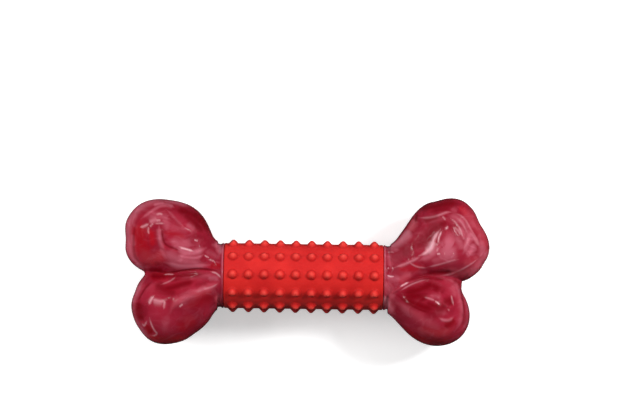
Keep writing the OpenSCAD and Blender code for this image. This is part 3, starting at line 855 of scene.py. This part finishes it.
def set_inputs(tree, made, inputs):
    """Gives inputs of a node their numbers and colours, or joins them to other nodes' sockets."""
    for key, value in inputs.items():
        if isinstance(value, bpy.types.NodeSocket):
            tree.links.new(value, made.inputs[key])
        else:
            made.inputs[key].default_value = value


def node(tree, kind, inputs=None, **settings):
    """A shader node with its settings and inputs."""
    made = tree.nodes.new("ShaderNode" + kind)
    for key, value in settings.items():
        setattr(made, key, value)
    set_inputs(tree, made, inputs or {})
    return made


def new_material(name):
    """A material, its tree, its surface and its output."""
    material = bpy.data.materials.new(name)
    material.use_nodes = True
    tree = material.node_tree
    tree.nodes.clear()
    surface = node(tree, "BsdfPrincipled")
    output = node(tree, "OutputMaterial", {"Surface": surface.outputs[0]})
    return material, tree, surface, output


def mixed(tree, factor, a, b):
    return node(tree, "Mix", {0: factor, 6: a, 7: b}, data_type="RGBA").outputs[2]


def maths(tree, operation, a, b=0, clamp=False):
    return node(tree, "Math", {0: a, 1: b}, operation=operation, use_clamp=clamp).outputs[0]


def attribute(tree, name):
    return node(tree, "Attribute", attribute_name=name).outputs["Fac"]


def noise(tree, where, pattern, output="Fac"):
    """The noise of one of the named patterns."""
    size, detail, roughness, distortion = PATTERNS[pattern]
    inputs = {
        "Vector": where, "Scale": 1 / (size * MM), "Detail": detail,
        "Roughness": roughness, "Distortion": distortion,
    }
    return node(tree, "TexNoise", inputs).outputs[output]


def between(tree, value, low, high, to_low=0, to_high=1):
    """value, eased from low and high to to_low and to_high."""
    inputs = {"Value": value, "From Min": low, "From Max": high, "To Min": to_low, "To Max": to_high}
    return node(tree, "MapRange", inputs, interpolation_type="SMOOTHSTEP").outputs[0]


def bump(tree, height, distance):
    """Normals of small relief from height, distance millimetres deep."""
    return node(tree, "Bump", {"Strength": 1, "Distance": distance * MM, "Height": height}).outputs[0]


def drifted(tree, where):
    """Coordinates that wander by about DRIFT_REACH millimetres."""
    drift = noise(tree, where, "drift", "Color")
    centred = node(tree, "VectorMath", {0: drift, 1: (0.5, 0.5, 0.5)}, operation="SUBTRACT").outputs[0]
    scale = {0: centred, "Scale": 2 * DRIFT_REACH * MM}
    scaled = node(tree, "VectorMath", scale, operation="SCALE").outputs[0]
    return node(tree, "VectorMath", {0: where, 1: scaled}).outputs[0]


def marbled_nylon():
    """Glossy, slightly cloudy nylon: maroon with pinkish wisps, thin veins and deep maroon patches, with
    painted reflections, painted shade and painted highlights laid into its tints.
    """
    material, tree, surface, _ = new_material("marbled_nylon")
    where = node(tree, "TexCoord").outputs["Object"]
    wandering = drifted(tree, where)
    stretched = node(tree, "Mapping", {"Vector": wandering, "Scale": MARBLE_STRETCH}).outputs[0]
    wisps = between(tree, noise(tree, stretched, "wisps"), *WISP_SPAN)
    depth = between(tree, noise(tree, wandering, "depth"), *DEPTH_SPAN)
    line = noise(tree, stretched, "veins")
    off_line = maths(tree, "ABSOLUTE", maths(tree, "SUBTRACT", line, 0.5))
    veins = between(tree, off_line, 0, VEIN_WIDTH, 1, 0)
    # The folds' tints: milky pink that is partly painted reflection, deep maroon that is partly painted
    # shade, red, and painted highlights
    milk, dark, red, pale = (attribute(tree, tint) for tint in ("milk", "dark", "red", "pale"))

    wispy_milk_and_reflection = maths(tree, "MULTIPLY", milk, between(tree, wisps, 0, 1, MILK_AND_REFLECTION_CALM, MILK_AND_REFLECTION_FULL))
    loose = maths(tree, "MULTIPLY", wisps, LOOSE_WISPS)
    thin = maths(tree, "MULTIPLY", veins, VEIN_MILK)
    all_milk = maths(tree, "ADD", maths(tree, "ADD", wispy_milk_and_reflection, loose), thin, clamp=True)
    dark_pool_and_shade = maths(tree, "MULTIPLY", dark, between(tree, wisps, 0, 1, 1, DARK_AND_SHADE_IN_WISPS), clamp=True)

    colour = mixed(tree, depth, NYLON_DEEP, NYLON_MID)
    colour = mixed(tree, red, colour, NYLON_RED)
    # Milky pink with painted reflections, deep maroon with painted shade, then painted highlights
    colour = mixed(tree, all_milk, colour, NYLON_MILK_AND_REFLECTION)
    colour = mixed(tree, dark_pool_and_shade, colour, NYLON_DARK_AND_SHADE)
    colour = mixed(tree, pale, colour, NYLON_HIGHLIGHT)

    smear = noise(tree, where, "smear")
    grain = maths(tree, "MULTIPLY", noise(tree, where, "nylon_grain"), NYLON_GRAIN)
    relief = maths(tree, "ADD", noise(tree, where, "nylon_skin"), grain)
    set_inputs(tree, surface, {
        "Base Color": colour, "Roughness": between(tree, smear, *GRAIN_SPAN, *NYLON_ROUGHNESS),
        "Normal": bump(tree, relief, NYLON_RELIEF), "IOR": 1.5, "Subsurface Weight": 0.18,
        "Subsurface Radius": (1, 0.22, 0.26), "Subsurface Scale": 3 * MM, "Coat Weight": 0.3,
        "Coat Roughness": 0.06,
    })
    return material


def red_rubber():
    """Matt red rubber with a fine grain, with a painted highlight at the tips of the nubs and painted shade
    at their feet.
    """
    material, tree, surface, _ = new_material("red_rubber")
    where = node(tree, "TexCoord").outputs["Object"]
    broad = between(tree, noise(tree, where, "rubber_cloud"), *CLOUD_SPAN)
    grain = noise(tree, where, "rubber_grain")
    height = attribute(tree, "nub")
    # Painted shade in a ring round each nub's foot
    rise, fall = between(tree, height, *FOOT_SHADE_START), between(tree, height, *FOOT_SHADE_END, 1, 0)
    foot = maths(tree, "MULTIPLY", maths(tree, "MULTIPLY", rise, fall), FOOT_SHADE)
    colour = mixed(tree, broad, RUBBER_DEEP, RUBBER_MID)
    colour = mixed(tree, foot, colour, RUBBER_FOOT_SHADE)
    # Painted highlight on each nub's tip
    colour = mixed(tree, between(tree, height, *TIP_HIGHLIGHT_START, 0, TIP_HIGHLIGHT), colour, RUBBER_TIP_HIGHLIGHT)
    colour = mixed(tree, between(tree, grain, *GRAIN_SPAN, 0, GRAIN_TINT), colour, RUBBER_GRAIN)
    set_inputs(tree, surface, {
        "Base Color": colour, "Roughness": between(tree, grain, *GRAIN_SPAN, *RUBBER_ROUGHNESS),
        "Normal": bump(tree, grain, RUBBER_RELIEF), "IOR": 1.45, "Subsurface Weight": 0.05,
        "Subsurface Radius": (1, 0.15, 0.1), "Subsurface Scale": 2 * MM,
    })
    return material


def core_nylon():
    """Matt moulded nylon for the core, with faint flow lines along it."""
    material, tree, surface, _ = new_material("core_nylon")
    where = node(tree, "TexCoord").outputs["Object"]
    stretched = node(tree, "Mapping", {"Vector": where, "Scale": FLOW_STRETCH}).outputs[0]
    flow = noise(tree, stretched, "flow")
    specks = maths(tree, "MULTIPLY", noise(tree, where, "specks"), CORE_SPECKS)
    set_inputs(tree, surface, {
        "Base Color": mixed(tree, between(tree, flow, *CLOUD_SPAN), CORE_DEEP, CORE_PALE),
        "Roughness": between(tree, flow, *GRAIN_SPAN, *CORE_ROUGHNESS),
        "Normal": bump(tree, maths(tree, "ADD", flow, specks), CORE_RELIEF),
    })
    return material


def floor_material():
    """White with the toy's shadow for the camera, and dimmer for the light that it throws back."""
    material, tree, surface, output = new_material("floor_white")
    rays = node(tree, "LightPath").outputs
    colour = mixed(tree, rays["Is Camera Ray"], FLOOR_BOUNCE, FLOOR_WHITE)
    colour = mixed(tree, rays["Is Glossy Ray"], colour, FLOOR_IN_GLOSS)
    set_inputs(tree, surface, {"Base Color": colour, "Roughness": 0.9, "Specular IOR Level": 0})
    in_gloss = maths(tree, "MULTIPLY", rays["Is Glossy Ray"], GLOSS_SHARE)
    seen = maths(tree, "MAXIMUM", rays["Is Camera Ray"], in_gloss)
    place = node(tree, "TexCoord").outputs["Object"]
    away = node(tree, "VectorMath", {0: place}, operation="LENGTH").outputs[1]
    glow = maths(tree, "MULTIPLY", seen, between(tree, away, NEAR * MM, FAR * MM, FLOOR_GLOW, 1))
    light = node(tree, "Emission", {"Color": (1, 1, 1, 1), "Strength": glow})
    both = node(tree, "AddShader", {0: surface.outputs[0], 1: light.outputs[0]})
    tree.links.new(both.outputs[0], output.inputs["Surface"])
    return material


def make_floor():
    half = FLOOR_HALF * MM
    mesh = bpy.data.meshes.new("floor")
    corners = [(-half, -half, 0), (half, -half, 0), (half, half, 0), (-half, half, 0)]
    mesh.from_pydata(corners, [], [(0, 1, 2, 3)])
    floor = bpy.data.objects.new("floor", mesh)
    bpy.context.scene.collection.objects.link(floor)
    floor.data.materials.append(floor_material())


def make_world():
    """White where the camera sees it, paler at the horizon than above for gloss, and a soft light that
    comes more from the photograph's top than from its bottom."""
    world = bpy.data.worlds.new("studio")
    bpy.context.scene.world = world
    world.use_nodes = True
    tree = world.node_tree
    tree.nodes.clear()
    rays = node(tree, "LightPath").outputs
    way = node(tree, "TexCoord").outputs["Generated"]
    apart = node(tree, "SeparateXYZ", {0: way}).outputs
    gloss = between(tree, apart[2], 0, GLOSS_RISE, GLOSS_HORIZON, GLOSS_ABOVE)
    fill = between(tree, apart[1], -1, 1, FILL_BELOW, FILL_ABOVE)
    strength = mixed(tree, rays["Is Glossy Ray"], fill, gloss)
    strength = mixed(tree, rays["Is Camera Ray"], strength, (1, 1, 1, 1))
    background = node(tree, "Background", {"Color": strength})
    node(tree, "OutputWorld", {"Surface": background.outputs[0]})


def make_lamps():
    """Lamps at their places, with their light towards their targets."""
    for name, (position, target, width, height, power, in_gloss) in LAMPS.items():
        light = bpy.data.lights.new(name, "AREA")
        light.shape = "RECTANGLE"
        light.size, light.size_y = width * MM, height * MM
        light.energy = power
        lamp = bpy.data.objects.new(name, light)
        lamp.visible_glossy = in_gloss
        bpy.context.scene.collection.objects.link(lamp)
        position, target = placed(np.array([position, target], float))
        lamp.location = position
        lamp.rotation_euler = mathutils.Vector(target - position).to_track_quat("-Z", "Y").to_euler()


def make_camera():
    """A camera where the photograph's was, with the toy where it is in the photograph."""
    data = bpy.data.cameras.new("camera")
    data.sensor_width = SENSOR
    data.lens = SENSOR * CAMERA_AWAY / (PHOTO_WIDTH * PIXEL)
    camera = bpy.data.objects.new("camera", data)
    camera.location = placed(np.array([*camera_middle(), CAMERA_AWAY]))
    camera.rotation_euler = (0, 0, ROLL)
    bpy.context.scene.collection.objects.link(camera)
    bpy.context.scene.camera = camera


# Colours, as a screen shows them
NYLON_MID = linear(156, 32, 53)
NYLON_DEEP = linear(134, 19, 39)
# Milky pink of the marbling, laid on as painted reflections too
NYLON_RED = linear(172, 14, 28)
NYLON_MILK_AND_REFLECTION = linear(196, 100, 118)
# Deep maroon of the marbling, laid on as painted shade too
NYLON_DARK_AND_SHADE = linear(112, 2, 16)
# Painted highlights
NYLON_HIGHLIGHT = linear(236, 180, 190)
RUBBER_MID = linear(206, 34, 32)
RUBBER_DEEP = linear(190, 24, 26)
# Painted highlight on the nubs' tips, and painted shade at their feet
RUBBER_TIP_HIGHLIGHT = linear(238, 84, 74)
RUBBER_FOOT_SHADE = linear(150, 10, 16)
RUBBER_GRAIN = linear(226, 62, 54)
CORE_DEEP = linear(118, 28, 42)
CORE_PALE = linear(150, 52, 64)
FLOOR_WHITE = linear(240, 240, 240)
FLOOR_BOUNCE = linear(170, 170, 170)
FLOOR_IN_GLOSS = linear(22, 22, 22)

# How strong tints are: the milky tint with its painted reflections without wisps and in them, wisps and
# veins beside it, the deep maroon tint with its painted shade in wisps, a nub's painted highlight at its tip
# and painted shade at its foot, the rubber's grain, and the painted highlight on the collar's edge below and
# on top
MILK_AND_REFLECTION_CALM = 0.85
MILK_AND_REFLECTION_FULL = 1.15
LOOSE_WISPS = 0.14
VEIN_MILK = 0.07
DARK_AND_SHADE_IN_WISPS = 0.9
TIP_HIGHLIGHT = 0.55
FOOT_SHADE = 0.5
GRAIN_TINT = 0.2
COLLAR_HIGHLIGHT_LOW = 0.2
COLLAR_HIGHLIGHT_HIGH = 0.8
# How low on the collar its painted edge highlight starts to get paler, as a share of the neck's radius,
# and how deep the painted shade on the collar's underside is
COLLAR_HIGHLIGHT_SHARE = 0.5
COLLAR_UNDERSIDE_SHADE = 0.25

# The noise patterns of the materials: size of the largest features in millimetres, detail, roughness and
# distortion
PATTERNS = {
    "drift": (26, 2, 0.5, 0),
    "depth": (22, 3, 0.5, 0),
    "veins": (14, 2, 0.4, 1.6),
    "wisps": (9, 5, 0.55, 0.9),
    "smear": (12, 4, 0.6, 0),
    "nylon_skin": (6, 2, 0.5, 0),
    "nylon_grain": (1.1, 2, 0.5, 0),
    "rubber_cloud": (24, 3, 0.5, 0),
    "rubber_grain": (0.8, 3, 0.7, 0),
    "flow": (3, 4, 0.6, 0.4),
    "specks": (0.6, 2, 0.5, 0),
}
# How far the marbling drifts and how deep the materials' relief is, in millimetres
DRIFT_REACH = 13
NYLON_RELIEF = 0.12
RUBBER_RELIEF = 0.05
CORE_RELIEF = 0.06
# How patterns are stretched, how wide a vein is and how much a finer grain counts in the relief, as shares
MARBLE_STRETCH = (0.5, 1.2, 1)
FLOW_STRETCH = (0.12, 1, 1)
VEIN_WIDTH = 0.012
NYLON_GRAIN = 0.08
CORE_SPECKS = 0.3
# The parts of a noise's values over which it takes effect, in tints and in roughness and grain
WISP_SPAN = (0.46, 0.72)
DEPTH_SPAN = (0.36, 0.66)
CLOUD_SPAN = (0.35, 0.65)
GRAIN_SPAN = (0.3, 0.7)
# The parts of a nub's height over which the painted shade at its foot starts and ends, and the painted
# highlight at its tip starts
FOOT_SHADE_START = (0.01, 0.1)
FOOT_SHADE_END = (0.2, 0.5)
TIP_HIGHLIGHT_START = (0.3, 1)
# Least and greatest roughness
NYLON_ROUGHNESS = (0.1, 0.2)
RUBBER_ROUGHNESS = (0.34, 0.46)
CORE_ROUGHNESS = (0.42, 0.6)

# Light: half the floor's side, how bright it glows for the camera near the toy, over what distances it
# turns white, how much of that its reflections show, the world's soft light from the photograph's top
# and bottom, and what gloss sees of it at the horizon and above, from how steep a way up
FLOOR_HALF = 6000
NEAR = 250
FAR = 1400
FLOOR_GLOW = 0.45
GLOSS_SHARE = 0.02
FILL_ABOVE = 0.48
FILL_BELOW = 0.06
GLOSS_HORIZON = 0.025
GLOSS_ABOVE = 0.015
GLOSS_RISE = 0.8
# The lamps: each one's place, what it points at, its width, height and power, and whether it shows in
# reflections
LAMPS = {
    "key": [(700, 300, 580), (0, 0, 0), 220, 220, 8.6, False],
    "fill": [(-670, 150, 450), (0, 0, 0), 400, 300, 4.7, False],
    "long_strip": [(500, 500, 900), (0, 0, 0), 320, 40, 0.35, True],
    "short_strip": [(-350, 250, 900), (0, 0, 0), 160, 30, 0.15, True],
}

left_folds = [*LEFT_UPPER.values(), *LEFT_MIDDLE.values(), *LEFT_LOWER.values()]
left = make_end("left_bone_end", "left_knuckle", -1, LEFT_SHARES, left_folds, LEFT_SWELLS, LEFT_CORNER)
right_folds = [*RIGHT_UPPER.values(), *RIGHT_MIDDLE.values(), *RIGHT_LOWER.values()]
right = make_end("right_bone_end", "right_knuckle", 1, RIGHT_SHARES, right_folds, RIGHT_SWELLS, RIGHT_CORNER)
nylon = marbled_nylon()
left.data.materials.append(nylon)
right.data.materials.append(nylon)
make_sleeve().data.materials.append(red_rubber())
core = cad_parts["core_shaft"]
core.data.materials.clear()
core.data.materials.append(core_nylon())

make_floor()
make_world()
make_lamps()
make_camera()
bpy.context.scene.view_settings.view_transform = "Standard"
